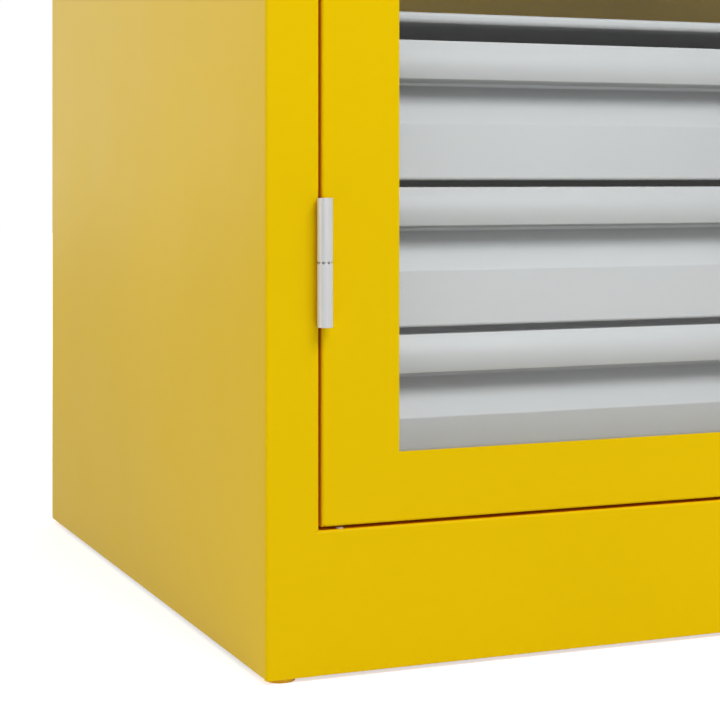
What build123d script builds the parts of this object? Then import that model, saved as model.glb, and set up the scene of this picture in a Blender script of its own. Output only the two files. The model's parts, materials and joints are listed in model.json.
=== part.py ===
from build123d import *
import math
import os

os.makedirs("parts", exist_ok=True)

# Millimetres. X runs across the front, Y runs from front to back, Z runs up.
# The origin is on the floor, under the middle of the whole cabinet, handle included.

# Outside of the cabinet
width = 1000
depth = 600
height = 1000
handle_reach = 26.0
foot_height = 3.0

# Body sheet and its bends
sheet = 1.5
bend = 2.0
tight_bend = 0.5
corner_round = 3.0
foot_round = 1.4
frame_face = 35.6
plinth_face = 91.6
jamb = 24.0
stop_width = 12.0
stop_height = 10.0
rear_flange = 20.0
base_flange = 20.0
floor_rim = 18.0
back_sheet = 1.0
bead_depth = 6.0
bead_width = 34.0
bead_inset = 230.0
bead_margin = 45.0
bead_taper = 30.0

# Doors
side_gap = 1.9
end_gap = 2.2
middle_gap = 2.2
door_depth = 22.0
door_sheet = 1.2
door_stile = 53.2
door_rail = 45.0
door_lip = 18.0
relief_width = 0.8
relief_height = 1.3
relief_inset = 1.8

# Windows
gasket_thickness = 1.0
gasket_width = 8.0
pane_thickness = 4.0
pane_lap = 10.0
retainer_thickness = 2.0
retainer_inset = 2.0
retainer_width = 18.0
nut_offset = 15.0
nut_radius = 4.0
nut_height = 3.0
nuts_up = 4
nuts_across = 3

# Hinges, two on each door
hinge_inset = 167.6
knuckle_length = 40.0
knuckle_radius = 5.0
knuckle_clearance = 0.3
washer_thickness = 1.5
washer_radius = 4.6
washer_notches = 8
notch_start = 12.0
notch_width = 1.7
notch_depth = 1.7
pin_radius = 2.5
pin_clearance = 0.05
pin_reach = 35.0
pin_end_clearance = 0.5
frame_pad_width = 1.2
door_pad_width = 3.4
pad_inset = 0.2

# Turn handle and lock on the right door
lock_inset = 22.0
rose_size = 38.0
rose_thickness = 4.0
rose_chamfer = 1.0
face_clearance = 0.3
hub_radius = 13.0
hub_thickness = 6.0
grip_length = 42.0
grip_width = 13.0
grip_chamfer = 3.0
spindle_radius = 4.0
spindle_clearance = 0.05
spindle_square = 5.5
bearing_thickness = 4.0
bearing_width = 22.0
bearing_height = 60.0
cam_front = 10.0
cam_thickness = 3.0
cam_width = 13.0
crank_offset = 9.0
crank_angle = 45.0
crank_pin_radius = 2.5
crank_pin_length = 4.5
crank_slot_clearance = 0.5

# Rods of the lock and shoot bolts of the left door
rod_front = 14.0
rod_thickness = 3.0
rod_width = 10.0
rod_offset = 11.0
rod_plate_width = 16.0
rod_plate_tail = 16.0
rod_plate_head = 26.0
rod_setback = 0.2
rod_slot_clearance = 0.5
keeper_slot_clearance = 1.0
keeper_thickness = 2.0
keeper_margin = 4.0
guide_width = 14.0
guide_height = 10.0
guide_inset = 9.0
guide_clearance = 0.3
guide_tail = 2.0
bolt_inset = 24.9
bolt_length = 110.0
bolt_knob_inset = 60.0
bolt_knob_width = 8.0
bolt_knob_length = 4.5

# Buffers on the door stops
buffer_width = 5.0
buffer_height = 9.0
buffer_thickness = 1.7
buffer_inset = 17.5

# Levelling feet and their gussets
foot_side_inset = 13.6
foot_end_inset = 12.2
foot_radius = 9.75
stud_length = 37.0
foot_stud_radius = 4.0
foot_stud_clearance = 0.1
gusset_size = 45.0
gusset_thickness = 3.0
gusset_chamfer = 3.0
weld_nut_radius = 7.5
weld_nut_height = 8.0
nut_sides = 6

# Slotted uprights
upright_front = 80.0
rear_clear = 20.0
upright_width = 30.0
upright_depth = 20.0
upright_headroom = 10.0
slot_width = 4.0
slot_height = 15.0
slot_pitch = 50.0
slot_start = 30.0

# Drawer block
drawer_count = 3
drawer_pitch = 100.0
drawer_height = 95.25
drawer_floor_gap = 11.6
drawer_setback = 56.0
drawer_sheet = 1.0
front_overhang = 6.5
carrier_inset = 63.5
carrier_foot = 24.0
cover_gap = 12.35
cover_edge_clearance = 1.0
cover_setback = 62.0
hem_width = 12.0

# Section of a drawer front, measured back from the crest of its handle rail
lower_back = 3.0
lower_height = 38.55
bottom_return = 23.0
recess_back = 21.5
recess_height = 67.2
lip_edge_back = 2.4
lip_edge_height = 69.0
lip_edge_bend = 0.6
lip_back = 0.9
lip_height = 72.8
crest_height = 83.25
rail_top_back = 3.0
top_return_drop = 14.0

# Drawer tray and its runners
tray_height = 91.0
tray_rim = 7.0
runner_gap = 13.0
runner_height = 45.0
runner_middle = 40.0
runner_sheet = 1.4
runner_clearance = 0.3
runner_mouth_clearance = 0.8

# Adjustable shelf
shelf_height = 690.0
shelf_setback = 62.0
shelf_rear_clear = 10.0
shelf_edge_clearance = 2.5
shelf_rim = 25.0
shelf_return = 12.0
clip_width = 14.0
clip_plate = 2.0
clip_height = 20.0
clip_ledge = 20.0
clip_tongue_depth = 3.5
clip_tongue_clearance = 0.5

# Places worked out from the sizes above
front = (handle_reach - depth) / 2
rear = front + depth
left = -width / 2
body_bottom = foot_height
top_under = height - sheet
sill = body_bottom + plinth_face
head = height - frame_face
stop_front = front + jamb
stop_back = stop_front + sheet
seam = frame_face - bend
floor_top = sill + stop_height
back_front = rear - sheet - back_sheet

door_x = (left + frame_face + side_gap, -middle_gap / 2)
door_z = (sill + end_gap, head - end_gap)
door_middle = (door_z[0] + door_z[1]) / 2
door_y = (front, front + door_depth)
door_skin_back = front + door_sheet
window_x = (door_x[0] + door_stile, door_x[1] - door_stile)
window_z = (door_z[0] + door_rail, door_z[1] - door_rail)
gasket_y = (door_skin_back, door_skin_back + gasket_thickness)
pane_y = (gasket_y[1], gasket_y[1] + pane_thickness)
retainer_y = (pane_y[1], pane_y[1] + retainer_thickness)

hinge_x = door_x[0]
hinge_y = front - knuckle_radius - knuckle_clearance
hinge_heights = (door_z[0] + hinge_inset, door_z[1] - hinge_inset)

lock_x = -door_x[1] + lock_inset
lock_z = door_middle
cam_y = (front + cam_front, front + cam_front + cam_thickness)
rod_y = (front + rod_front, front + rod_front + rod_thickness)
upper_rod_x = lock_x - rod_offset
lower_rod_x = lock_x + rod_offset
bolt_x = door_x[1] - bolt_inset

upright_x = (left + sheet, left + sheet + upright_depth)
upright_y = (
    (front + upright_front, front + upright_front + upright_width),
    (rear - rear_clear - upright_width, rear - rear_clear),
)
upright_z = (floor_top, top_under - upright_headroom)

carrier_x = left + carrier_inset
tray_side = carrier_x + runner_gap
tray_y = (front + drawer_setback + bottom_return, rear - rear_clear)
first_drawer = floor_top + drawer_floor_gap
drawer_bases = [first_drawer + n * drawer_pitch for n in range(drawer_count)]
cover_bottom = drawer_bases[-1] + drawer_height + cover_gap
lowest_slot = cover_bottom + slot_start
slot_count = int((upright_z[1] - slot_start - lowest_slot) // slot_pitch) + 1


def grow(span, by):
    """A span widened by the same amount at both ends."""
    return (span[0] - by, span[1] + by)


def around(middle, size):
    """The span of a given size about its middle."""
    return (middle - size / 2, middle + size / 2)


def block(x, y, z, mode=Mode.ADD):
    """A box between two limits along each axis."""
    with Locations((sum(x) / 2, sum(y) / 2, sum(z) / 2)):
        Box(x[1] - x[0], y[1] - y[0], z[1] - z[0], mode=mode)


def patch(u, v, mode=Mode.ADD):
    """A rectangle between two limits along each axis of a sketch."""
    with Locations((sum(u) / 2, sum(v) / 2)):
        Rectangle(u[1] - u[0], v[1] - v[0], mode=mode)


def folded(points, radii, thickness, side):
    """The closed section of a folded sheet whose outer skin follows the points."""
    with BuildLine() as outline:
        if radii:
            FilletPolyline(*points, radius=radii)
        else:
            Polyline(*points)
        offset(amount=thickness, side=side)
    make_face(outline.edges())


def upright_plane(y):
    """A vertical sketch plane across the cabinet at depth y, facing forward."""
    return Plane.XZ.offset(-y)


def ring(y, x, z, inner, outer, thickness):
    """A flat frame around a window, set against depth y and growing backward."""
    with BuildSketch(upright_plane(y)) as outline:
        patch(grow(x, outer), grow(z, outer))
        patch(grow(x, inner), grow(z, inner), mode=Mode.SUBTRACT)
    extrude(outline.sketch, amount=-thickness)


# Side panels: one sheet folded into the side, the front stile, the jamb and the stop
with BuildPart() as side_panel_left:
    with BuildSketch(Plane.XY.offset(body_bottom)):
        folded(
            [
                (left + rear_flange, rear),
                (left, rear),
                (left, front),
                (left + frame_face, front),
                (left + frame_face, stop_front),
                (left + frame_face + stop_width, stop_front),
            ],
            [bend, bend, bend, tight_bend],
            sheet,
            Side.LEFT,
        )
    extrude(amount=top_under - body_bottom)
    fold_x = (left + seam, left + frame_face + stop_width)
    stop_x = (left + frame_face, fold_x[1])
    block(fold_x, (front, stop_back), (body_bottom, sill), mode=Mode.SUBTRACT)
    block(fold_x, (front, stop_back), (head, top_under), mode=Mode.SUBTRACT)
    block(stop_x, (front, stop_back), (sill, floor_top), mode=Mode.SUBTRACT)
    block(stop_x, (front, stop_back), (head - stop_height, head), mode=Mode.SUBTRACT)
    notch_x = (left, left + rear_flange)
    notch_z = (body_bottom, body_bottom + corner_round)
    block(notch_x, (rear - bend, rear), notch_z, mode=Mode.SUBTRACT)
    low_edges = side_panel_left.edges().filter_by(Axis.X).group_by(Axis.Z)[0]
    fillet(low_edges.sort_by(Axis.Y)[-1], radius=sheet)
    with BuildSketch(upright_plane(rear)) as foot_edge:
        with Locations((left + foot_round, body_bottom + foot_round)):
            Rectangle(foot_round, foot_round, align=(Align.MAX, Align.MAX))
            Circle(foot_round, mode=Mode.SUBTRACT)
    extrude(foot_edge.sketch, amount=depth - corner_round, mode=Mode.SUBTRACT)
side_panel_left.part.label = "side_panel_left"
export_step(side_panel_left.part, "parts/side_panel_left.step")

with BuildPart() as side_panel_right:
    mirror(side_panel_left.part, about=Plane.YZ)
side_panel_right.part.label = "side_panel_right"
export_step(side_panel_right.part, "parts/side_panel_right.step")

# Top panel: roof sheet folded down into the front rail, the head and the stop
rail_half = -(left + seam)
keeper_slot = (rod_width + 2 * keeper_slot_clearance, rod_thickness + 2 * keeper_slot_clearance)
head_slot_middles = [bolt_x, upper_rod_x]
sill_slot_middles = [bolt_x, lower_rod_x]
rod_middle_y = sum(rod_y) / 2


def keeper_slots(middles, z):
    """Slots that take the ends of the rods and shoot bolts."""
    for middle in middles:
        slot_x = around(middle, keeper_slot[0])
        slot_y = around(rod_middle_y, keeper_slot[1])
        block(slot_x, slot_y, z, mode=Mode.SUBTRACT)


with BuildPart() as top_panel:
    with BuildSketch(Plane.YZ):
        folded(
            [
                (rear, height - rear_flange),
                (rear, height),
                (front, height),
                (front, head),
                (stop_front, head),
                (stop_front, head - stop_height),
            ],
            [bend, bend, bend, tight_bend],
            sheet,
            Side.LEFT,
        )
    extrude(amount=width / 2, both=True)
    for mirror_side in (-1, 1):
        end_x = sorted((mirror_side * rail_half, mirror_side * width / 2))
        inner_end_x = sorted((mirror_side * (width / 2 - frame_face), mirror_side * width / 2))
        under_z = (head - stop_height, top_under)
        block(end_x, (front, stop_back), under_z, mode=Mode.SUBTRACT)
        stop_end_y = (stop_front - tight_bend, stop_back)
        block(inner_end_x, stop_end_y, (head - stop_height, head), mode=Mode.SUBTRACT)
        flange_x = sorted((mirror_side * (width / 2 - rear_flange), mirror_side * width / 2))
        block(flange_x, (rear - bend, rear), (height - rear_flange, top_under), mode=Mode.SUBTRACT)
    keeper_slots(head_slot_middles, (head, head + sheet))
top_panel.part.label = "top_panel"
export_step(top_panel.part, "parts/top_panel.step")

# Plinth: one sheet folded into the base flange, the face, the sill and the stop
with BuildPart() as plinth_front:
    with BuildSketch(Plane.YZ):
        folded(
            [
                (front + base_flange, body_bottom),
                (front, body_bottom),
                (front, sill),
                (stop_front, sill),
                (stop_front, floor_top),
            ],
            [tight_bend, bend, tight_bend],
            sheet,
            Side.RIGHT,
        )
    extrude(amount=rail_half, both=True)
    for mirror_side in (-1, 1):
        corner_x = sorted((mirror_side * (width / 2 - sheet - gusset_size), mirror_side * rail_half))
        corner_y = (front + sheet, front + base_flange)
        block(corner_x, corner_y, (body_bottom, body_bottom + gusset_thickness), mode=Mode.SUBTRACT)
        stop_end_x = sorted((mirror_side * (width / 2 - frame_face), mirror_side * rail_half))
        stop_end_y = (stop_front - tight_bend, stop_back)
        block(stop_end_x, stop_end_y, (sill, floor_top), mode=Mode.SUBTRACT)
    keeper_slots(sill_slot_middles, (sill - sheet, sill))
plinth_front.part.label = "plinth_front"
export_step(plinth_front.part, "parts/plinth_front.step")

# Floor: a pan turned down on all four sides, welded between the sides, sill and back
with BuildPart() as floor_panel:
    block(
        (left + sheet, -left - sheet),
        (stop_back, back_front),
        (floor_top - floor_rim, floor_top),
    )
    offset(amount=-sheet, openings=floor_panel.faces().sort_by(Axis.Z)[0])
floor_panel.part.label = "floor_panel"
export_step(floor_panel.part, "parts/floor_panel.step")

# Back panel: thin sheet with stiffening beads pressed inward above and below the cover
bead_spans = (
    (floor_top + bead_margin, cover_bottom - bead_margin),
    (cover_bottom + bead_margin, top_under - bead_margin),
)


def beads(y, inset, mode):
    """Tapered ridges pressed into the back sheet, growing forward from depth y."""
    for bead_z in bead_spans:
        with BuildSketch(upright_plane(y)) as ridge:
            for middle in (left + bead_inset, -left - bead_inset):
                patch(grow(around(middle, bead_width), -inset), grow(bead_z, -inset))
        extrude(ridge.sketch, amount=bead_depth, taper=bead_taper, mode=mode)


with BuildPart() as back_panel:
    back_x = (left + bend, -left - bend)
    block(back_x, (back_front, back_front + back_sheet), (body_bottom, height - bend))
    beads(back_front, 0, Mode.ADD)
    beads(back_front + back_sheet, back_sheet, Mode.SUBTRACT)
back_panel.part.label = "back_panel"
export_step(back_panel.part, "parts/back_panel.step")

# Foot gussets with their welded nuts, one in each lower corner
foot_places = {
    "front_left": (left + foot_side_inset, front + foot_end_inset),
    "front_right": (-left - foot_side_inset, front + foot_end_inset),
    "rear_left": (left + foot_side_inset, rear - foot_end_inset),
    "rear_right": (-left - foot_side_inset, rear - foot_end_inset),
}
with BuildPart() as foot_gussets:
    plate_z = (body_bottom, body_bottom + gusset_thickness)
    for corner, (foot_x, foot_y) in foot_places.items():
        x_side = 1 if foot_x > 0 else -1
        plate_x = sorted((x_side * (width / 2 - sheet), x_side * (width / 2 - sheet - gusset_size)))
        if corner.startswith("front"):
            plate_y = (front + sheet, front + sheet + gusset_size)
        else:
            plate_y = (back_front - gusset_size, back_front)
        block(plate_x, plate_y, plate_z)
    chamfer(foot_gussets.edges().filter_by(Axis.Z), length=gusset_chamfer)
    with BuildSketch(Plane.XY.offset(plate_z[1])):
        with Locations(*foot_places.values()):
            RegularPolygon(weld_nut_radius, nut_sides)
    extrude(amount=weld_nut_height)
    with BuildSketch(Plane.XY.offset(body_bottom)):
        with Locations(*foot_places.values()):
            Circle(foot_stud_radius + foot_stud_clearance)
    extrude(amount=gusset_thickness + weld_nut_height, mode=Mode.SUBTRACT)
foot_gussets.part.label = "foot_gussets"
export_step(foot_gussets.part, "parts/foot_gussets.step")

# Levelling feet: a disc on a stud that screws up through the gusset nut
for corner, (foot_x, foot_y) in foot_places.items():
    with BuildPart() as foot:
        with BuildSketch(Plane.XY):
            with Locations((foot_x, foot_y)):
                Circle(foot_radius)
        extrude(amount=foot_height)
        with BuildSketch(Plane.XY.offset(foot_height)):
            with Locations((foot_x, foot_y)):
                Circle(foot_stud_radius)
        extrude(amount=stud_length)
    foot.part.label = f"foot_{corner}"
    export_step(foot.part, f"parts/foot_{corner}.step")

# Slotted uprights: two channels on each side panel, with hook slots at one pitch
with BuildPart() as shelf_uprights:
    for channel_y in upright_y:
        with BuildSketch(Plane.XY.offset(upright_z[0])):
            folded(
                [
                    (upright_x[0], channel_y[0]),
                    (upright_x[1], channel_y[0]),
                    (upright_x[1], channel_y[1]),
                    (upright_x[0], channel_y[1]),
                ],
                None,
                sheet,
                Side.LEFT,
            )
        extrude(amount=upright_z[1] - upright_z[0])
        slot_middle_z = lowest_slot + (slot_count - 1) * slot_pitch / 2
        with BuildSketch(Plane.YZ.offset(upright_x[1])):
            with Locations((sum(channel_y) / 2, slot_middle_z)):
                with GridLocations(slot_pitch, slot_pitch, 1, slot_count):
                    Rectangle(slot_width, slot_height)
        extrude(amount=-sheet, mode=Mode.SUBTRACT)
    mirror(about=Plane.YZ)
shelf_uprights.part.label = "shelf_uprights"
export_step(shelf_uprights.part, "parts/shelf_uprights.step")

# Drawer carriers: upright folded panels that hold the runners off the side panels
carrier_y = (upright_y[0][0], upright_y[1][1])
with BuildPart() as drawer_carrier_left:
    with BuildSketch(Plane.XY.offset(floor_top)):
        folded(
            [
                (upright_x[1], carrier_y[0] + carrier_foot),
                (upright_x[1], carrier_y[0]),
                (carrier_x, carrier_y[0]),
                (carrier_x, carrier_y[1]),
                (upright_x[1], carrier_y[1]),
                (upright_x[1], carrier_y[1] - carrier_foot),
            ],
            None,
            sheet,
            Side.LEFT,
        )
    extrude(amount=cover_bottom - floor_top)
drawer_carrier_left.part.label = "drawer_carrier_left"
export_step(drawer_carrier_left.part, "parts/drawer_carrier_left.step")

with BuildPart() as drawer_carrier_right:
    mirror(drawer_carrier_left.part, about=Plane.YZ)
drawer_carrier_right.part.label = "drawer_carrier_right"
export_step(drawer_carrier_right.part, "parts/drawer_carrier_right.step")

# Cover over the drawer block, hemmed in front and notched round the uprights
cover_y = (front + cover_setback, back_front)
with BuildPart() as drawer_cover:
    with BuildSketch(Plane.YZ):
        folded(
            [
                (cover_y[1], cover_bottom + sheet),
                (cover_y[0], cover_bottom + sheet),
                (cover_y[0], cover_bottom + sheet + 2 * bend),
                (cover_y[0] + hem_width, cover_bottom + sheet + 2 * bend),
            ],
            [bend - tight_bend, bend - tight_bend],
            sheet,
            Side.LEFT,
        )
    extrude(amount=width / 2 - sheet - cover_edge_clearance, both=True)
    for channel_y in upright_y:
        for mirror_side in (-1, 1):
            notch_edge = width / 2 - sheet - upright_depth - cover_edge_clearance
            notch_x = sorted((mirror_side * notch_edge, mirror_side * width / 2))
            block(
                notch_x,
                grow(channel_y, cover_edge_clearance),
                grow((cover_bottom, cover_bottom + sheet), sheet),
                mode=Mode.SUBTRACT,
            )
drawer_cover.part.label = "drawer_cover"
export_step(drawer_cover.part, "parts/drawer_cover.step")

# Adjustable shelf: front and rear edges turned down and under
shelf_y = (front + shelf_setback, back_front - shelf_rear_clear)
shelf_half = width / 2 - sheet - upright_depth - shelf_edge_clearance
with BuildPart() as shelf:
    with BuildSketch(Plane.YZ):
        folded(
            [
                (shelf_y[0] + shelf_return, shelf_height - shelf_rim),
                (shelf_y[0], shelf_height - shelf_rim),
                (shelf_y[0], shelf_height),
                (shelf_y[1], shelf_height),
                (shelf_y[1], shelf_height - shelf_rim),
                (shelf_y[1] - shelf_return, shelf_height - shelf_rim),
            ],
            [bend] * 4,
            sheet,
            Side.RIGHT,
        )
    extrude(amount=shelf_half, both=True)
shelf.part.label = "shelf"
export_step(shelf.part, "parts/shelf.step")

# Clips that hang in the upright slots and carry the shelf
with BuildPart() as shelf_clips:
    ledge_top = shelf_height - sheet
    slot_z = lowest_slot + round((ledge_top - lowest_slot) / slot_pitch) * slot_pitch
    for channel_y in upright_y:
        clip_y = around(sum(channel_y) / 2, clip_width)
        tongue_y = around(sum(channel_y) / 2, slot_width - clip_tongue_clearance)
        plate_z = (min(ledge_top, slot_z) - clip_height, max(ledge_top, slot_z))
        block((upright_x[1], upright_x[1] + clip_plate), clip_y, plate_z)
        ledge_x = (upright_x[1], upright_x[1] + clip_ledge)
        block(ledge_x, clip_y, (ledge_top - clip_plate, ledge_top))
        tongue_x = (upright_x[1] - clip_tongue_depth, upright_x[1])
        block(tongue_x, tongue_y, (slot_z - slot_height / 2, slot_z))
    mirror(about=Plane.YZ)
shelf_clips.part.label = "shelf_clips"
export_step(shelf_clips.part, "parts/shelf_clips.step")

# Buffers on the stops that the closed doors come to rest against
with BuildPart() as stop_buffers:
    stop_middles = ((sill + floor_top) / 2, head - stop_height / 2)
    near_stile = frame_face + buffer_inset
    near_middle = width / 2 - buffer_inset
    for middle_z in stop_middles:
        for inset in (near_stile, near_middle, width - near_middle, width - near_stile):
            pad_x = around(left + inset, buffer_width)
            pad_y = (stop_front - buffer_thickness, stop_front)
            block(pad_x, pad_y, around(middle_z, buffer_height))
    chamfer(stop_buffers.faces().group_by(Axis.Y)[0].edges(), length=tight_bend)
stop_buffers.part.label = "stop_buffers"
export_step(stop_buffers.part, "parts/stop_buffers.step")


def keeper(middle, z):
    """A slotted strengthening plate behind a rod slot of the body."""
    slot_x = around(middle, keeper_slot[0])
    slot_y = around(rod_middle_y, keeper_slot[1])
    block(grow(slot_x, keeper_margin), grow(slot_y, keeper_margin), z)
    block(slot_x, slot_y, z, mode=Mode.SUBTRACT)


with BuildPart() as bolt_keepers:
    for middle in head_slot_middles:
        keeper(middle, (head + sheet, head + sheet + keeper_thickness))
    for middle in sill_slot_middles:
        keeper(middle, (sill - sheet - keeper_thickness, sill - sheet))
bolt_keepers.part.label = "bolt_keepers"
export_step(bolt_keepers.part, "parts/bolt_keepers.step")

# Hinges: a fixed knuckle with its notched washer and pin, and the door's knuckle above
washer_half = washer_thickness / 2
frame_pad_edge = hinge_x - side_gap - pad_inset
frame_pad_x = (frame_pad_edge - frame_pad_width, frame_pad_edge)
door_pad_x = (hinge_x + pad_inset, hinge_x + pad_inset + door_pad_width)


def knuckle(pad_x, bottom):
    """A round barrel with a weld pad that reaches back to the front plane."""
    with BuildSketch(Plane.XY.offset(bottom)) as barrel:
        with Locations((hinge_x, hinge_y)):
            Circle(knuckle_radius)
        patch(pad_x, (hinge_y, front))
    extrude(barrel.sketch, amount=knuckle_length)


with BuildPart() as hinge_frame_knuckles:
    for middle in hinge_heights:
        washer_bottom = middle - washer_half
        knuckle(frame_pad_x, washer_bottom - knuckle_length)
        with BuildSketch(Plane.XY.offset(washer_bottom)):
            with Locations((hinge_x, hinge_y)):
                Circle(washer_radius)
                with PolarLocations(washer_radius, washer_notches, start_angle=notch_start):
                    Rectangle(2 * notch_depth, notch_width, mode=Mode.SUBTRACT)
        extrude(amount=washer_thickness)
        with BuildSketch(Plane.XY.offset(middle + washer_half)):
            with Locations((hinge_x, hinge_y)):
                Circle(pin_radius)
        extrude(amount=pin_reach)
    mirror(about=Plane.YZ)
hinge_frame_knuckles.part.label = "hinge_frame_knuckles"
export_step(hinge_frame_knuckles.part, "parts/hinge_frame_knuckles.step")

with BuildPart() as hinge_door_knuckles_left:
    for middle in hinge_heights:
        knuckle_bottom = middle + washer_half
        knuckle(door_pad_x, knuckle_bottom)
        with BuildSketch(Plane.XY.offset(knuckle_bottom)):
            with Locations((hinge_x, hinge_y)):
                Circle(pin_radius + pin_clearance)
        extrude(amount=pin_reach + pin_end_clearance, mode=Mode.SUBTRACT)
hinge_door_knuckles_left.part.label = "hinge_door_knuckles_left"
export_step(hinge_door_knuckles_left.part, "parts/hinge_door_knuckles_left.step")

with BuildPart() as hinge_door_knuckles_right:
    mirror(hinge_door_knuckles_left.part, about=Plane.YZ)
hinge_door_knuckles_right.part.label = "hinge_door_knuckles_right"
export_step(hinge_door_knuckles_right.part, "parts/hinge_door_knuckles_right.step")

# Door shell: a shallow pan with returned lips behind and a window cut in its face
with BuildPart() as door_blank:
    block(door_x, door_y, door_z)
    fillet(door_blank.faces().sort_by(Axis.Y)[0].edges(), radius=bend)
    offset(amount=-door_sheet, openings=door_blank.faces().sort_by(Axis.Y)[-1])
    with BuildSketch(upright_plane(door_y[1])):
        patch(door_x, door_z)
        patch(grow(door_x, -door_lip), grow(door_z, -door_lip), mode=Mode.SUBTRACT)
    extrude(amount=door_sheet)
    block(window_x, (front, door_skin_back), window_z, mode=Mode.SUBTRACT)
    relief_y = (front, front + door_depth)
    for edge_x in (door_x[0] + relief_inset, door_x[1] - relief_inset):
        for relief_z in (
            (door_z[0], door_z[0] + relief_height),
            (door_z[1] - relief_height, door_z[1]),
        ):
            block(around(edge_x, relief_width), relief_y, relief_z, mode=Mode.SUBTRACT)

rod_slot = (rod_width + 2 * rod_slot_clearance, rod_thickness + 2 * rod_slot_clearance)


def rod_slots(middle, z):
    """A slot through the folded edge of a door, for the end of a rod."""
    block(around(middle, rod_slot[0]), around(rod_middle_y, rod_slot[1]), z, mode=Mode.SUBTRACT)


upper_edge_z = (door_z[1] - door_sheet, door_z[1])
lower_edge_z = (door_z[0], door_z[0] + door_sheet)

with BuildPart() as door_left:
    add(door_blank.part)
    rod_slots(bolt_x, upper_edge_z)
    rod_slots(bolt_x, lower_edge_z)
door_left.part.label = "door_left"
export_step(door_left.part, "parts/door_left.step")

with BuildPart() as door_right:
    mirror(door_blank.part, about=Plane.YZ)
    rod_slots(upper_rod_x, upper_edge_z)
    rod_slots(lower_rod_x, lower_edge_z)
    with BuildSketch(upright_plane(front)):
        with Locations((lock_x, lock_z)):
            Circle(spindle_radius + face_clearance)
    extrude(amount=-door_sheet, mode=Mode.SUBTRACT)
door_right.part.label = "door_right"
export_step(door_right.part, "parts/door_right.step")

# Window: gasket, clear pane, clamping frame, and the nuts on its welded studs
with BuildPart() as gasket_left:
    ring(gasket_y[0], window_x, window_z, face_clearance, gasket_width, gasket_thickness)
gasket_left.part.label = "gasket_left"
export_step(gasket_left.part, "parts/gasket_left.step")

with BuildPart() as window_pane_left:
    block(grow(window_x, pane_lap), pane_y, grow(window_z, pane_lap))
window_pane_left.part.label = "window_pane_left"
export_step(window_pane_left.part, "parts/window_pane_left.step")

with BuildPart() as pane_retainer_left:
    retainer_outer = retainer_inset + retainer_width
    ring(retainer_y[0], window_x, window_z, retainer_inset, retainer_outer, retainer_thickness)
pane_retainer_left.part.label = "pane_retainer_left"
export_step(pane_retainer_left.part, "parts/pane_retainer_left.step")

nut_x, nut_z = grow(window_x, nut_offset), grow(window_z, nut_offset)
nut_places = []
for n in range(nuts_up):
    place_z = nut_z[0] + (nut_z[1] - nut_z[0]) * n / (nuts_up - 1)
    nut_places += [(nut_x[0], place_z), (nut_x[1], place_z)]
for n in range(1, nuts_across - 1):
    place_x = nut_x[0] + (nut_x[1] - nut_x[0]) * n / (nuts_across - 1)
    nut_places += [(place_x, nut_z[0]), (place_x, nut_z[1])]

with BuildPart() as retainer_nuts_left:
    with BuildSketch(upright_plane(retainer_y[1])):
        with Locations(*nut_places):
            RegularPolygon(nut_radius, nut_sides)
    extrude(amount=-nut_height)
retainer_nuts_left.part.label = "retainer_nuts_left"
export_step(retainer_nuts_left.part, "parts/retainer_nuts_left.step")

with BuildPart() as gasket_right:
    mirror(gasket_left.part, about=Plane.YZ)
gasket_right.part.label = "gasket_right"
export_step(gasket_right.part, "parts/gasket_right.step")

with BuildPart() as window_pane_right:
    mirror(window_pane_left.part, about=Plane.YZ)
window_pane_right.part.label = "window_pane_right"
export_step(window_pane_right.part, "parts/window_pane_right.step")

with BuildPart() as pane_retainer_right:
    mirror(pane_retainer_left.part, about=Plane.YZ)
pane_retainer_right.part.label = "pane_retainer_right"
export_step(pane_retainer_right.part, "parts/pane_retainer_right.step")

with BuildPart() as retainer_nuts_right:
    mirror(retainer_nuts_left.part, about=Plane.YZ)
retainer_nuts_right.part.label = "retainer_nuts_right"
export_step(retainer_nuts_right.part, "parts/retainer_nuts_right.step")

# Handle rose and spindle bearing, fixed to the right door
lock_place = (lock_x, lock_z)
with BuildPart() as handle_rose:
    with BuildSketch(upright_plane(front)):
        with Locations(lock_place):
            Rectangle(rose_size, rose_size)
    extrude(amount=rose_thickness)
    chamfer(handle_rose.faces().sort_by(Axis.Y)[0].edges(), length=rose_chamfer)
    with BuildSketch(upright_plane(front)):
        with Locations(lock_place):
            Circle(spindle_radius + spindle_clearance)
    extrude(amount=rose_thickness, mode=Mode.SUBTRACT)
handle_rose.part.label = "handle_rose"
export_step(handle_rose.part, "parts/handle_rose.step")

with BuildPart() as spindle_bearing:
    with BuildSketch(upright_plane(door_skin_back)):
        with Locations(lock_place):
            Rectangle(bearing_width, bearing_height)
            Circle(spindle_radius + spindle_clearance, mode=Mode.SUBTRACT)
    extrude(amount=-bearing_thickness)
spindle_bearing.part.label = "spindle_bearing"
export_step(spindle_bearing.part, "parts/spindle_bearing.step")

# Turn handle: hub, grip and spindle in one casting, with a square end in the cam
hub_back = front - rose_thickness - face_clearance
with BuildPart() as turn_handle:
    with BuildSketch(upright_plane(hub_back)):
        with Locations(lock_place):
            Circle(hub_radius)
    extrude(amount=hub_thickness)
    with BuildSketch(upright_plane(hub_back - hub_thickness)):
        with Locations(lock_place):
            Rectangle(grip_length, grip_width)
    grip_depth = handle_reach - rose_thickness - face_clearance - hub_thickness
    extrude(amount=grip_depth)
    chamfer(turn_handle.faces().sort_by(Axis.Y)[0].edges(), length=grip_chamfer)
    with BuildSketch(upright_plane(hub_back)):
        with Locations(lock_place):
            Circle(spindle_radius)
    extrude(amount=-(cam_y[0] - hub_back))
    with BuildSketch(upright_plane(cam_y[0])):
        with Locations(lock_place):
            Rectangle(spindle_square, spindle_square)
    extrude(amount=-cam_thickness)
turn_handle.part.label = "turn_handle"
export_step(turn_handle.part, "parts/turn_handle.step")

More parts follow.
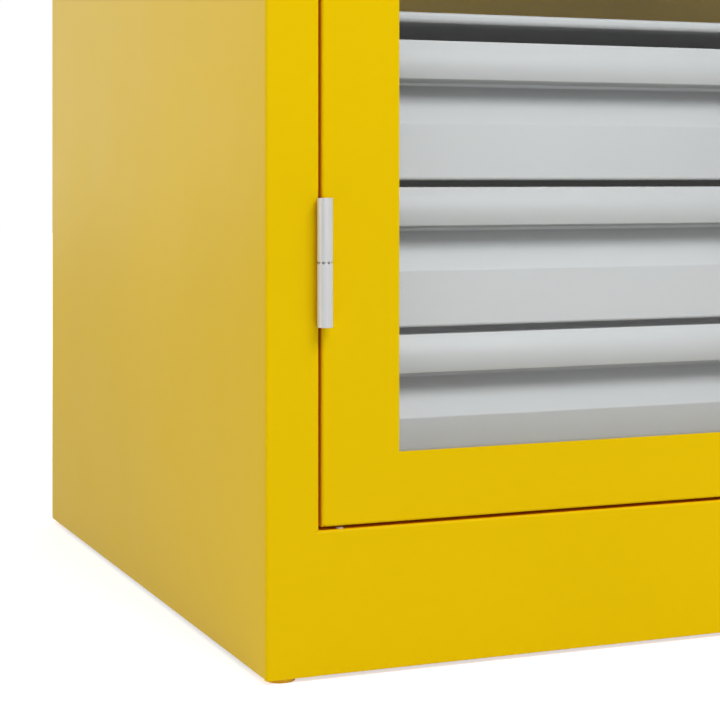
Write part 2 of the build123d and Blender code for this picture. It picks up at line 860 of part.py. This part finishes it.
# Lock cam: a bar on the spindle with one crank pin for each rod
crank_radius = crank_offset / math.cos(math.radians(crank_angle))
with BuildPart() as lock_cam:
    with BuildSketch(upright_plane(cam_y[0])):
        with Locations(lock_place):
            Rectangle(2 * crank_radius + cam_width, cam_width, rotation=crank_angle)
            Rectangle(spindle_square, spindle_square, mode=Mode.SUBTRACT)
    extrude(amount=-cam_thickness)
    with BuildSketch(upright_plane(cam_y[1])):
        with Locations(
            (lock_x - crank_offset, lock_z - crank_offset),
            (lock_x + crank_offset, lock_z + crank_offset),
        ):
            Circle(crank_pin_radius)
    extrude(amount=-crank_pin_length)
lock_cam.part.label = "lock_cam"
export_step(lock_cam.part, "parts/lock_cam.step")

# Upper and lower lock rods: a slotted plate on the crank pin and a flat bar to the edge
crank_slot_x = (-crank_radius, -crank_offset)
crank_slot_reach = crank_pin_radius + crank_slot_clearance


def rod_shape(side, edge):
    """One rod, on the left (-1) or right (1) of the spindle, running to a door edge."""
    up = -side
    with BuildSketch(upright_plane(rod_y[0])) as outline:
        plate_z = sorted((lock_z - up * rod_plate_tail, lock_z + up * rod_plate_head))
        patch(around(lock_x + side * rod_offset, rod_plate_width), plate_z)
        bar_z = sorted((lock_z + up * rod_plate_head, edge - up * rod_setback))
        patch(around(lock_x + side * rod_offset, rod_width), bar_z)
        slot_ends = sorted(lock_x - side * reach for reach in crank_slot_x)
        slot_level = lock_z - up * crank_offset
        patch(
            grow(slot_ends, crank_slot_reach),
            around(slot_level, 2 * crank_slot_reach),
            mode=Mode.SUBTRACT,
        )
    extrude(outline.sketch, amount=-rod_thickness)


with BuildPart() as lock_rod_upper:
    rod_shape(-1, door_z[1])
lock_rod_upper.part.label = "lock_rod_upper"
export_step(lock_rod_upper.part, "parts/lock_rod_upper.step")

with BuildPart() as lock_rod_lower:
    rod_shape(1, door_z[0])
lock_rod_lower.part.label = "lock_rod_lower"
export_step(lock_rod_lower.part, "parts/lock_rod_lower.step")


def rod_guide(middle, z):
    """A block on the inside of a door skin with a slot that guides a rod."""
    block(around(middle, guide_width), (door_skin_back, rod_y[1] + guide_tail), z)
    slot_x = grow(around(middle, rod_width), guide_clearance)
    block(slot_x, grow(rod_y, guide_clearance), z, mode=Mode.SUBTRACT)


upper_guide_z = (door_z[1] - guide_inset - guide_height, door_z[1] - guide_inset)
lower_guide_z = (door_z[0] + guide_inset, door_z[0] + guide_inset + guide_height)

with BuildPart() as lock_rod_guides:
    rod_guide(upper_rod_x, upper_guide_z)
    rod_guide(lower_rod_x, lower_guide_z)
lock_rod_guides.part.label = "lock_rod_guides"
export_step(lock_rod_guides.part, "parts/lock_rod_guides.step")

with BuildPart() as bolt_guides:
    for guide_z in (upper_guide_z, lower_guide_z):
        rod_guide(bolt_x, guide_z)
    rod_guide(bolt_x, around(door_z[1] - bolt_length + guide_height, guide_height))
    rod_guide(bolt_x, around(door_z[0] + bolt_length - guide_height, guide_height))
bolt_guides.part.label = "bolt_guides"
export_step(bolt_guides.part, "parts/bolt_guides.step")


def shoot_bolt(edge, up):
    """A flat bolt that ends just inside a door edge, with a thumb knob behind."""
    with BuildSketch(upright_plane(rod_y[0])) as bar:
        bar_z = sorted((edge - up * bolt_length, edge - up * rod_setback))
        patch(around(bolt_x, rod_width), bar_z)
    extrude(bar.sketch, amount=-rod_thickness)
    with BuildSketch(upright_plane(rod_y[1])) as knob:
        with Locations((bolt_x, edge - up * bolt_knob_inset)):
            Rectangle(bolt_knob_width, bolt_knob_width)
    extrude(knob.sketch, amount=-bolt_knob_length)


with BuildPart() as shoot_bolt_upper:
    shoot_bolt(door_z[1], 1)
shoot_bolt_upper.part.label = "shoot_bolt_upper"
export_step(shoot_bolt_upper.part, "parts/shoot_bolt_upper.step")

with BuildPart() as shoot_bolt_lower:
    shoot_bolt(door_z[0], -1)
shoot_bolt_lower.part.label = "shoot_bolt_lower"
export_step(shoot_bolt_lower.part, "parts/shoot_bolt_lower.step")

# Drawers: a rolled front with its handle rail, a tray and three-part runners
crest = front + drawer_setback
drawer_names = [f"drawer_{n + 1}" for n in range(drawer_count)]


def runner_channel(web, mouth, middle, half_height):
    """A runner channel along the cabinet, its web at one side and open at the other."""
    side = Side.RIGHT if mouth > web else Side.LEFT
    with BuildSketch(upright_plane(tray_y[1])) as channel:
        folded(
            [
                (mouth, middle - half_height),
                (web, middle - half_height),
                (web, middle + half_height),
                (mouth, middle + half_height),
            ],
            None,
            runner_sheet,
            side,
        )
    extrude(channel.sketch, amount=tray_y[1] - tray_y[0])


half_step = runner_sheet + runner_clearance
member_half = [runner_height / 2 - n * half_step for n in range(3)]
cabinet_mouth = tray_side - runner_mouth_clearance
middle_web = carrier_x + half_step
middle_mouth = cabinet_mouth - runner_clearance
drawer_mouth = middle_web + half_step

with BuildPart() as runner_cabinet_members:
    for base in drawer_bases:
        runner_channel(carrier_x, cabinet_mouth, base + runner_middle, member_half[0])
    mirror(about=Plane.YZ)
runner_cabinet_members.part.label = "runner_cabinet_members"
export_step(runner_cabinet_members.part, "parts/runner_cabinet_members.step")

for name, base in zip(drawer_names, drawer_bases):
    with BuildPart() as runner_middle_members:
        runner_channel(middle_web, middle_mouth, base + runner_middle, member_half[1])
        mirror(about=Plane.YZ)
    runner_middle_members.part.label = f"{name}_middle_runners"
    export_step(runner_middle_members.part, f"parts/{name}_middle_runners.step")

    with BuildPart() as drawer_members:
        runner_channel(tray_side, drawer_mouth, base + runner_middle, member_half[2])
        mirror(about=Plane.YZ)
    drawer_members.part.label = f"{name}_inner_runners"
    export_step(drawer_members.part, f"parts/{name}_inner_runners.step")

    with BuildPart() as drawer_tray:
        tray_x = (tray_side, -tray_side)
        block(tray_x, tray_y, (base, base + tray_height))
        offset(amount=-drawer_sheet, openings=drawer_tray.faces().sort_by(Axis.Z)[-1])
        with BuildSketch(Plane.XY.offset(base + tray_height)):
            patch(tray_x, tray_y)
            patch(grow(tray_x, -tray_rim), grow(tray_y, -tray_rim), mode=Mode.SUBTRACT)
        extrude(amount=-drawer_sheet)
    drawer_tray.part.label = f"{name}_tray"
    export_step(drawer_tray.part, f"parts/{name}_tray.step")

    with BuildPart() as drawer_front:
        with BuildSketch(Plane.YZ):
            with BuildLine():
                handle_rail = ThreePointArc(
                    (crest + lip_back, base + lip_height),
                    (crest, base + crest_height),
                    (crest + rail_top_back, base + drawer_height),
                )
                FilletPolyline(
                    (crest + bottom_return, base),
                    (crest + lower_back, base),
                    (crest + lower_back, base + lower_height),
                    (crest + recess_back, base + recess_height),
                    (crest + lip_edge_back, base + lip_edge_height),
                    handle_rail @ 0,
                    radius=[bend, bend, bend, lip_edge_bend],
                )
                FilletPolyline(
                    handle_rail @ 1,
                    (crest + bottom_return, base + drawer_height),
                    (crest + bottom_return, base + drawer_height - top_return_drop),
                    radius=bend,
                )
                offset(amount=drawer_sheet, side=Side.RIGHT)
            make_face()
        extrude(amount=-tray_side + front_overhang, both=True)
    drawer_front.part.label = f"{name}_front"
    export_step(drawer_front.part, f"parts/{name}_front.step")
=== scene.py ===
import json
import math

import bmesh
import bpy
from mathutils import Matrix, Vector

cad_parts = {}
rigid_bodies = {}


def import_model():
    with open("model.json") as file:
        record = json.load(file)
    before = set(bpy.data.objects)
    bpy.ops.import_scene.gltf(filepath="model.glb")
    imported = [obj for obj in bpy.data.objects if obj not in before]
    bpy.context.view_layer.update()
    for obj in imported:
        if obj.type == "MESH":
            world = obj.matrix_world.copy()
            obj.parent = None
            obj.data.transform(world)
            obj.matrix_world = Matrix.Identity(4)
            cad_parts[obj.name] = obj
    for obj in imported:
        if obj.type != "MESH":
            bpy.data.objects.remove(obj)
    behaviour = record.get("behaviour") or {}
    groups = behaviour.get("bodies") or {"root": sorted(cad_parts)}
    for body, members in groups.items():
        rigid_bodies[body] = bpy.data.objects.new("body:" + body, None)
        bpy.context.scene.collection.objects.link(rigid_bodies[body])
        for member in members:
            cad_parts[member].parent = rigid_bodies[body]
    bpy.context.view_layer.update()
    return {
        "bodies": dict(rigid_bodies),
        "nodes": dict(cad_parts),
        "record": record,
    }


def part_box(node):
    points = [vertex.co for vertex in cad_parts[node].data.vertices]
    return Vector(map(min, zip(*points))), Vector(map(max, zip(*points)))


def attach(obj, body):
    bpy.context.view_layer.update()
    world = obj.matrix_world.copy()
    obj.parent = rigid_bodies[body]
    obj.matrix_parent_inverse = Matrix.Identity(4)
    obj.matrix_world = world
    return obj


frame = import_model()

nodes = frame["nodes"]


# Node trees

usual_low = 0.3
usual_high = 0.7


def rgb(red, green, blue):
    return (red, green, blue, 1.0)


def even(level):
    """A grey with the same level in each channel."""
    return rgb(level, level, level)


class Tree:
    """A small helper that adds nodes to a material and links them by a socket's name or number."""

    def __init__(self, name):
        self.material = bpy.data.materials.new(name)
        self.material.use_nodes = True
        self.tree = self.material.node_tree
        self.tree.nodes.clear()
        self.output = self.add("ShaderNodeOutputMaterial")

    def add(self, kind, inputs=None, **settings):
        node = self.tree.nodes.new(kind)
        for key, value in settings.items():
            setattr(node, key, value)
        for key, value in (inputs or {}).items():
            self.set_input(node, key, value)
        return node

    def set_input(self, node, key, value):
        """Links a socket to an input, or sets the input to a constant."""
        if isinstance(value, bpy.types.NodeSocket):
            self.tree.links.new(value, node.inputs[key])
        else:
            node.inputs[key].default_value = value

    def place(self):
        """Object coordinates in metres."""
        return self.add("ShaderNodeTexCoord").outputs["Object"]

    def noise(self, scale, detail=2.0, roughness=0.5, stretch=None, seed=0.0):
        vector = self.place()
        if stretch is not None:
            vector = self.add(
                "ShaderNodeMapping", {"Vector": vector, "Scale": stretch}
            ).outputs["Vector"]
        return self.add(
            "ShaderNodeTexNoise",
            {"Vector": vector, "W": seed, "Scale": scale, "Detail": detail, "Roughness": roughness},
            noise_dimensions="4D",
        ).outputs["Fac"]

    def span(self, value, low, high, to_low, to_high):
        """A value remapped from one range to another, held inside it."""
        return self.add(
            "ShaderNodeMapRange",
            {"Value": value, "From Min": low, "From Max": high, "To Min": to_low, "To Max": to_high},
        ).outputs["Result"]

    def spread(self, noise, to_low, to_high):
        """A noise's usual range, stretched over another range."""
        return self.span(noise, usual_low, usual_high, to_low, to_high)

    def math(self, operation, a, b):
        return self.add("ShaderNodeMath", {0: a, 1: b}, operation=operation).outputs[0]

    def blend(self, factor, a, b):
        """A colour between two colours. 6, 7 and 2 are the Mix node's colour sockets."""
        return self.add("ShaderNodeMix", {"Factor": factor, 6: a, 7: b}, data_type="RGBA").outputs[2]

    def bump(self, height, distance, strength=1.0, normal=None):
        inputs = {"Height": height, "Distance": distance, "Strength": strength}
        if normal is not None:
            inputs["Normal"] = normal
        return self.add("ShaderNodeBump", inputs).outputs["Normal"]

    def mix(self, factor, first, second):
        """A shader between two shaders."""
        return self.add("ShaderNodeMixShader", {0: factor, 1: first, 2: second}).outputs[0]

    def surface(self, shader):
        """Ends the tree with a shader and gives the material."""
        self.tree.links.new(shader, self.output.inputs["Surface"])
        return self.material

    def finish(self, **inputs):
        """Ends the tree with a principled shader, whose inputs are named with _ for a space."""
        names = {key.replace("_", " "): value for key, value in inputs.items()}
        return self.surface(self.add("ShaderNodeBsdfPrincipled", names).outputs["BSDF"])


# Finishes, with noise scales per metre and bump depths in metres

tone_scale = 3.0
gloss_scale = 14.0
peel_scale = 330.0
peel_depth = 0.00002
grain_scale = 900.0
grain_share = 0.15
painted_shade_full = 0.15
painted_shade_samples = 8
slant_from = 0.55
slant_to = 0.80


def powder_coat(name, colour, deeper, roughness, level, painted_shade_and_bounce, reach, closed):
    """Satin powder coat: fine orange peel, a faint drift of tone and gloss, and a painted crevice
    shade.

    The painted shade, tinted like bounced light where its colour is warm, comes in where open space
    within reach falls below the closed share.
    The specular level is a pair: seen straight on, and seen at a slant."""
    tree = Tree(name)
    drift = tree.noise(tone_scale, 3.0, seed=1.3)
    tone = tree.blend(tree.spread(drift, 0.0, 1.0), colour, deeper)
    # Painted shade: the colour turns towards the crevice colour where ambient occlusion finds little
    # open space, standing in for shade and for light bounced between close faces
    openness = tree.add(
        "ShaderNodeAmbientOcclusion", {"Distance": reach}, samples=painted_shade_samples
    ).outputs["AO"]
    tone = tree.blend(tree.span(openness, painted_shade_full, closed, 1.0, 0.0), tone, painted_shade_and_bounce)
    grain = tree.noise(grain_scale, 2.0, seed=4.1)
    orange_peel = tree.noise(peel_scale, 3.0, 0.45, seed=7.7)
    fine = tree.bump(grain, peel_depth * grain_share)
    waves = tree.bump(orange_peel, peel_depth, normal=fine)
    gloss = tree.spread(tree.noise(gloss_scale, 3.0, seed=2.9), roughness - 0.02, roughness + 0.03)
    facing = tree.add("ShaderNodeLayerWeight", {"Blend": 0.5}).outputs["Facing"]
    shine = tree.span(facing, slant_from, slant_to, level[0], level[1])
    return tree.finish(Base_Color=tone, Roughness=gloss, Normal=waves, Specular_IOR_Level=shine)


lines_across = 2600.0
line_stretch = 220.0
line_depth = 0.00001
line_shade = (0.86, 0.86, 0.87)


def drawn_steel(name, colour, roughness, along, metallic):
    """Cold-drawn or rolled steel with fine marks that run along one axis."""
    tree = Tree(name)
    stretch = [lines_across, lines_across, lines_across]
    stretch["XYZ".index(along)] = lines_across / line_stretch
    marks = tree.noise(1.0, 2.0, 0.6, stretch=stretch, seed=3.0)
    darker = rgb(*(part * shade for part, shade in zip(colour, line_shade)))
    tone = tree.blend(tree.spread(marks, 0.0, 1.0), colour, darker)
    haze = tree.noise(60.0, 3.0, seed=5.0)
    gloss = tree.spread(haze, roughness - 0.05, roughness + 0.07)
    normal = tree.bump(marks, line_depth, 0.7)
    return tree.finish(Base_Color=tone, Metallic=metallic, Roughness=gloss, Normal=normal)


def zinc_plate(name):
    """Bright zinc plating: faint spangle, a cool cast and small stains."""
    spangle_scale = 170.0
    dull_spangle = rgb(0.60, 0.62, 0.65)
    bright_spangle = rgb(0.70, 0.71, 0.72)
    stained = rgb(0.55, 0.53, 0.46)
    tree = Tree(name)
    cells = tree.add(
        "ShaderNodeTexVoronoi", {"Vector": tree.place(), "Scale": spangle_scale}, feature="F1"
    ).outputs["Color"]
    grey = tree.add("ShaderNodeRGBToBW", {"Color": cells}).outputs["Val"]
    tone = tree.blend(tree.span(grey, 0.2, 0.8, 0.0, 1.0), dull_spangle, bright_spangle)
    stain = tree.span(tree.noise(9.0, 4.0, seed=8.0), 0.62, 0.75, 0.0, 0.35)
    tone = tree.blend(stain, tone, stained)
    gloss = tree.spread(tree.noise(120.0, 2.0, seed=6.0), 0.30, 0.42)
    normal = tree.bump(tree.noise(700.0, 2.0, seed=9.0), 0.00001)
    return tree.finish(Base_Color=tone, Metallic=1.0, Roughness=gloss, Normal=normal)


def clear_sheet(name):
    """Clear polished sheet with a trace of waviness and a few fine dust specks.

    Light passes through it almost without a shadow."""
    tree = Tree(name)
    dust = tree.span(tree.noise(1400.0, 1.0, seed=11.0), 0.74, 0.78, 0.0, 0.25)
    gloss = tree.math("ADD", tree.span(tree.noise(20.0, seed=12.0), 0.0, 1.0, 0.0, 0.02), dust)
    waves = tree.bump(tree.noise(6.0, seed=13.0), 0.00002)
    sheet = tree.add(
        "ShaderNodeBsdfPrincipled",
        {
            "Base Color": rgb(0.99, 1.0, 0.998), "Roughness": gloss, "IOR": 1.45,
            "Transmission Weight": 1.0, "Normal": waves,
        },
    ).outputs[0]
    clear = tree.add("ShaderNodeBsdfTransparent", {"Color": rgb(0.985, 0.99, 0.988)}).outputs[0]
    path = tree.add("ShaderNodeLightPath")
    through = tree.math("MAXIMUM", path.outputs["Is Shadow Ray"], path.outputs["Is Diffuse Ray"])
    return tree.surface(tree.mix(through, sheet, clear))


def moulded(name, colour, lighter, roughness, scale, depth):
    """Moulded rubber or plastic with a fine pebbled grain."""
    tree = Tree(name)
    grain = tree.noise(scale, 2.0, 0.5, seed=15.0)
    tone = tree.blend(tree.span(grain, 0.35, 0.7, 0.0, 1.0), colour, lighter)
    gloss = tree.spread(tree.noise(25.0, 3.0, seed=16.0), roughness - 0.04, roughness + 0.06)
    return tree.finish(Base_Color=tone, Roughness=gloss, Normal=tree.bump(grain, depth))


finishes = {
    # Each crevice colour is painted shade: orange-red in the yellow paint for shade and the glow of
    # light bounced in narrow gaps, dark grey in the inside paint for the shade in the drawers'
    # recesses, amber on the feet
    "body_paint": powder_coat(
        "body_powder_coat", rgb(0.80, 0.535, 0.0005), rgb(0.77, 0.512, 0.0005), 0.33, (0.03, 0.24),
        painted_shade_and_bounce=rgb(0.95, 0.38, 0.0005), reach=0.006, closed=0.60,
    ),
    "inner_paint": powder_coat(
        "inner_powder_coat", rgb(0.552, 0.569, 0.582), rgb(0.539, 0.556, 0.569), 0.31, (0.14, 0.20),
        painted_shade_and_bounce=rgb(0.22, 0.228, 0.232), reach=0.050, closed=0.88,
    ),
    # The feet's yellow is painted lighter than the body's, as painted light that makes up for the
    # shade under the cabinet
    "foot_paint": powder_coat(
        "foot_coat_painted_lighter", rgb(0.96, 0.64, 0.04), rgb(0.92, 0.60, 0.03), 0.40, (0.2, 0.3),
        painted_shade_and_bounce=rgb(0.96, 0.56, 0.02), reach=0.006, closed=0.60,
    ),
    "hinge_steel": drawn_steel("hinge_drawn_steel", rgb(0.80, 0.805, 0.81), 0.46, "Z", metallic=0.35),
    "zinc_steel": zinc_plate("zinc_plate"),
    "clear_pane": clear_sheet("pane_clear"),
    "gasket_rubber": moulded("seal_rubber", even(0.018), even(0.03), 0.62, 1500.0, 0.00003),
    "buffer_rubber": moulded(
        "buffer_rubber", rgb(0.50, 0.49, 0.46), rgb(0.58, 0.57, 0.53), 0.55, 1500.0, 0.00002
    ),
    "handle_black": moulded(
        "handle_moulding", rgb(0.022, 0.022, 0.024), rgb(0.04, 0.04, 0.043), 0.48, 1900.0, 0.00004
    ),
}


# The CAD nodes, with their finishes, softened edges and smooth bends

weld_distance = 0.000002
flat_angle = math.radians(0.3)
edge_angle = math.radians(40)
bend_angle = math.radians(32)
edge_segments = 2
edge_widths = {
    "body_paint": 0.00035,
    "inner_paint": 0.00025,
    "hinge_steel": 0.00030,
    "handle_black": 0.0006,
    "foot_paint": 0.0004,
    "clear_pane": 0.0003,
}


def dress(piece, slot):
    """Gives a CAD node its finish, and softens its edges and bends with modifiers."""
    piece.data.materials.clear()
    piece.data.materials.append(finishes[slot])
    for face in piece.data.polygons:
        face.material_index = 0
        face.use_smooth = True
    weld = piece.modifiers.new("weld", "WELD")
    weld.merge_threshold = weld_distance
    flat = piece.modifiers.new("flat", "DECIMATE")
    flat.decimate_type = "DISSOLVE"
    flat.angle_limit = flat_angle
    if slot in edge_widths:
        edge = piece.modifiers.new("edge", "BEVEL")
        edge.width = edge_widths[slot]
        edge.segments = edge_segments
        edge.limit_method = "ANGLE"
        edge.angle_limit = edge_angle
        edge.harden_normals = False
    split = piece.modifiers.new("split", "EDGE_SPLIT")
    split.split_angle = bend_angle
    weighted = piece.modifiers.new("weighted", "WEIGHTED_NORMAL")
    weighted.keep_sharp = True


for row in frame["record"]["subparts"]:
    dress(nodes[row["node"]], row["material_slot"])


# Small fasteners and pads, built as turned forms

sides = 24
round_angle = math.radians(35)
head_radius = 0.0042
head_height = 0.0022
head_dome = ((1.0, 0.25), (0.90, 0.62), (0.72, 0.88), (0.52, 1.0))
socket_radius = 0.0014
socket_depth = 0.0012
socket_taper = 0.96
stud_radius = 0.0020
stud_reach = 0.0022
thread_pitch = 0.0005
thread_depth = 0.0002
crest_share = 0.4
root_share = 0.7
tip_share = 0.1
pad_radius = 0.0025
pad_height = 0.0011
pad_dome = ((1.0, 0.45), (0.92, 0.75), (0.70, 0.93), (0.35, 1.0))


def hexagon(radius, angle):
    """The radius of a hexagon's outline at an angle, from its circumscribed radius."""
    sector = math.radians(60)
    return radius * math.cos(sector / 2) / math.cos(angle % sector - sector / 2)


def turned(mesh, place, axis, rings):
    """Adds rings of (radius, height, hexagonal) about an axis to a mesh, closed at the last ring."""
    turn = Vector(axis).to_track_quat("Z", "Y").to_matrix()
    loops = []
    for radius, rise, hexagonal in rings:
        loop = []
        for n in range(sides):
            angle = math.tau * n / sides
            r = hexagon(radius, angle) if hexagonal else radius
            point = turn @ Vector((r * math.cos(angle), r * math.sin(angle), rise))
            loop.append(mesh.verts.new(Vector(place) + point))
        loops.append(loop)
    for lower, upper in zip(loops, loops[1:]):
        for n in range(sides):
            mesh.faces.new((lower[n - 1], lower[n], upper[n], upper[n - 1]))
    mesh.faces.new(loops[-1])


def domed(radius, height, dome):
    """The rings of a dome, from shares of its radius and height."""
    rings = [(radius, 0.0, False)]
    for share, rise in dome:
        rings.append((radius * share, height * rise, False))
    return rings


def button_head(mesh, place, axis):
    """A button-head screw with a hexagon socket."""
    rings = domed(head_radius, head_height, head_dome)
    rings.append((socket_radius, head_height, True))
    rings.append((socket_radius * socket_taper, head_height - socket_depth, True))
    turned(mesh, place, axis, rings)


def stud_end(mesh, place, axis):
    """The threaded end of a welded stud, with a chamfered tip."""
    turns = round(stud_reach / thread_pitch) - 1
    rings = [(stud_radius, 0.0, False)]
    for n in range(turns):
        rings.append((stud_radius, thread_pitch * (n + crest_share), False))
        rings.append((stud_radius - thread_depth, thread_pitch * (n + root_share), False))
    rings.append((stud_radius, thread_pitch * (turns + tip_share), False))
    rings.append((stud_radius - 2 * thread_depth, stud_reach, False))
    turned(mesh, place, axis, rings)


def domed_pad(mesh, place, axis):
    """A low domed pad."""
    turned(mesh, place, axis, domed(pad_radius, pad_height, pad_dome))


def fasteners(name, maker, places, axis, body, slot="zinc_steel"):
    """One mesh of like small pieces that moves with a body. axis gives the way each one faces."""
    made = bmesh.new()
    for place in places:
        maker(made, place, axis(place))
    bmesh.ops.recalc_face_normals(made, faces=made.faces)
    mesh = bpy.data.meshes.new(name)
    made.to_mesh(mesh)
    made.free()
    for face in mesh.polygons:
        face.use_smooth = True
    mesh.materials.append(finishes[slot])
    thing = bpy.data.objects.new(name, mesh)
    bpy.context.scene.collection.objects.link(thing)
    split = thing.modifiers.new("split", "EDGE_SPLIT")
    split.split_angle = round_angle
    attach(thing, body)


def island_middles(node):
    """The middle of each separate solid in a CAD node, in the order of the node's vertices."""
    made = bmesh.new()
    made.from_mesh(nodes[node].data)
    bmesh.ops.remove_doubles(made, verts=made.verts, dist=weld_distance)
    found = set()
    middles = []
    for start in made.verts:
        if start in found:
            continue
        found.add(start)
        reached = [start]
        corners = []
        while reached:
            vertex = reached.pop()
            corners.append(vertex.co.copy())
            for edge in vertex.link_edges:
                other = edge.other_vert(vertex)
                if other not in found:
                    found.add(other)
                    reached.append(other)
        low = [min(c[axis] for c in corners) for axis in range(3)]
        high = [max(c[axis] for c in corners) for axis in range(3)]
        middles.append((Vector(low) + Vector(high)) / 2)
    made.free()
    return middles


# Stud ends behind the nuts of each window frame

for door in ("left", "right"):
    nuts = "retainer_nuts_" + door
    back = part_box(nuts)[1].y
    places = [Vector((middle.x, back, middle.z)) for middle in island_middles(nuts)]
    fasteners("retainer_studs_" + door, stud_end, places, lambda place: (0, 1, 0), door + "_door")


# Screws inside each drawer's tray, which hold its runners

tray_sheet = 0.001
screws_along = 3
for body in frame["bodies"]:
    if not (body.startswith("drawer_") and body + "_tray" in nodes):
        continue
    low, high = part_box(body + "_tray")
    runner_low, runner_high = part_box(body + "_inner_runners")
    level = (runner_low.z + runner_high.z) / 2
    places = []
    for n in range(screws_along):
        along = low.y + (high.y - low.y) * (n + 0.5) / screws_along
        places.append(Vector((low.x + tray_sheet, along, level)))
        places.append(Vector((high.x - tray_sheet, along, level)))
    fasteners(body + "_screws", button_head, places, lambda place: (-place.x, 0, 0), body)


# Door rests on the sill, seen in the gap under each door's outer corner

door_gap = 0.0022
rest_inset = 0.0136
rest_back = 0.0045
left_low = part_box("door_left")[0]
right_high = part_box("door_right")[1]
sill = left_low.z - door_gap
rest_x = (left_low.x + rest_inset, right_high.x - rest_inset)
rests = [Vector((x, left_low.y + rest_back, sill)) for x in rest_x]
fasteners("sill_rests", domed_pad, rests, lambda place: (0, 0, 1), "cabinet", "buffer_rubber")


# Floor and background, white where they are seen and dimmer in light and reflections

floor_half_width = 9.0
floor_cells = 4
floor_seen = 0.86
floor_bounce = 0.82
floor_mirrored = 0.50
fleck_scale = 2.0
fleck_level = 0.96
near_glow = 0.62
near_reach = 0.8
far_reach = 2.2
sky_front = 0.22
sky_back = 0.95
sky_front_y = -0.6
sky_back_y = 0.9


def floor_plane():
    """A white floor that keeps the cabinet's shadow. It glows fully only away from the cabinet."""
    mesh = bpy.data.meshes.new("studio_floor")
    made = bmesh.new()
    bmesh.ops.create_grid(made, x_segments=floor_cells, y_segments=floor_cells, size=floor_half_width)
    made.to_mesh(mesh)
    made.free()
    thing = bpy.data.objects.new("studio_floor", mesh)
    bpy.context.scene.collection.objects.link(thing)

    tree = Tree("studio_floor")
    fleck = tree.span(tree.noise(fleck_scale, seed=20.0), 0.0, 1.0, fleck_level, 1.0)

    def diffuse(level):
        colour = tree.blend(fleck, even(0.0), even(level))
        return tree.add("ShaderNodeBsdfDiffuse", {"Color": colour}).outputs[0]

    def emission(strength):
        return tree.add("ShaderNodeEmission", {"Color": even(1.0), "Strength": strength}).outputs[0]

    reach = tree.add("ShaderNodeVectorMath", {0: tree.place()}, operation="LENGTH").outputs["Value"]
    glow = emission(tree.span(reach, near_reach, far_reach, near_glow, 1.0))
    shown = tree.add("ShaderNodeAddShader", {0: diffuse(floor_seen), 1: glow}).outputs[0]
    path = tree.add("ShaderNodeLightPath")
    seen = tree.math("MAXIMUM", path.outputs["Is Camera Ray"], path.outputs["Is Transmission Ray"])
    unseen = tree.mix(path.outputs["Is Glossy Ray"], diffuse(floor_bounce), emission(floor_mirrored))
    mesh.materials.append(tree.surface(tree.mix(seen, unseen, shown)))


def studio_world():
    """A sky that is white where it is seen, and otherwise dimmer in front than behind."""
    world = bpy.data.worlds.new("studio")
    bpy.context.scene.world = world
    world.use_nodes = True
    links = world.node_tree.links
    made = world.node_tree.nodes
    made.clear()
    path = made.new("ShaderNodeLightPath")
    seen = made.new("ShaderNodeMath")
    seen.operation = "MAXIMUM"
    links.new(path.outputs["Is Camera Ray"], seen.inputs[0])
    links.new(path.outputs["Is Transmission Ray"], seen.inputs[1])
    place = made.new("ShaderNodeTexCoord")
    axes = made.new("ShaderNodeSeparateXYZ")
    links.new(place.outputs["Generated"], axes.inputs[0])
    around = made.new("ShaderNodeMapRange")
    around.inputs["From Min"].default_value = sky_front_y
    around.inputs["From Max"].default_value = sky_back_y
    around.inputs["To Min"].default_value = sky_front
    around.inputs["To Max"].default_value = sky_back
    links.new(axes.outputs["Y"], around.inputs["Value"])
    level = made.new("ShaderNodeMix")
    level.inputs["B"].default_value = 1.0
    links.new(seen.outputs[0], level.inputs["Factor"])
    links.new(around.outputs[0], level.inputs["A"])
    sky = made.new("ShaderNodeBackground")
    sky.inputs["Color"].default_value = even(1.0)
    links.new(level.outputs[0], sky.inputs["Strength"])
    out = made.new("ShaderNodeOutputWorld")
    links.new(sky.outputs[0], out.inputs["Surface"])


floor_plane()
studio_world()


# Lamps, in metres and watts

def lamp(name, place, target, size, power):
    """A rectangular lamp that points at a target."""
    light = bpy.data.lights.new(name, "AREA")
    light.shape = "RECTANGLE"
    light.size, light.size_y = size
    light.energy = power
    thing = bpy.data.objects.new(name, light)
    thing.location = place
    thing.rotation_euler = (Vector(target) - Vector(place)).to_track_quat("-Z", "Y").to_euler()
    bpy.context.scene.collection.objects.link(thing)
    return thing


lower_front = (-0.1, -0.2, 0.4)
left_side = (-0.5, 0.1, 0.4)
drawer_fronts = (-0.2, -0.2, 0.35)
lamp("key", (0.7, -3.1, 4.0), lower_front, size=(3.0, 2.3), power=171.0)
lamp("wash", (-4.0, 0.5, 0.6), left_side, size=(1.8, 1.6), power=33.0)
lamp("fill", (-0.5, -4.2, 1.0), lower_front, size=(1.4, 1.4), power=10.0)

# A highlight for the drawer fronts alone, so that the panes don't mirror its lamp

glint = lamp("glint", (0.95, -3.10, 1.05), drawer_fronts, size=(0.6, 1.6), power=60.0)
glint.visible_diffuse = False
lit_fronts = bpy.data.collections.new("lit_fronts")
for name in nodes:
    if name.startswith("drawer") and name.endswith("front"):
        lit_fronts.objects.link(nodes[name])
glint.light_linking.receiver_collection = lit_fronts


# Camera with a level line of sight and its frame shifted down

eye = (-0.8830, -1.3864, 0.3186)
heading = (0.3762, 0.9265, 0.0)
sensor_width = 36.0
focal_length = 93.06
frame_shift = -0.2547
near_limit = 0.05

camera = bpy.data.cameras.new("camera")
camera.sensor_width = sensor_width
camera.lens = focal_length
camera.shift_y = frame_shift
camera.clip_start = near_limit
viewer = bpy.data.objects.new("camera", camera)
viewer.location = eye
viewer.rotation_euler = Vector(heading).to_track_quat("-Z", "Y").to_euler()
bpy.context.scene.collection.objects.link(viewer)
bpy.context.scene.camera = viewer

bpy.context.scene.view_settings.view_transform = "Standard"
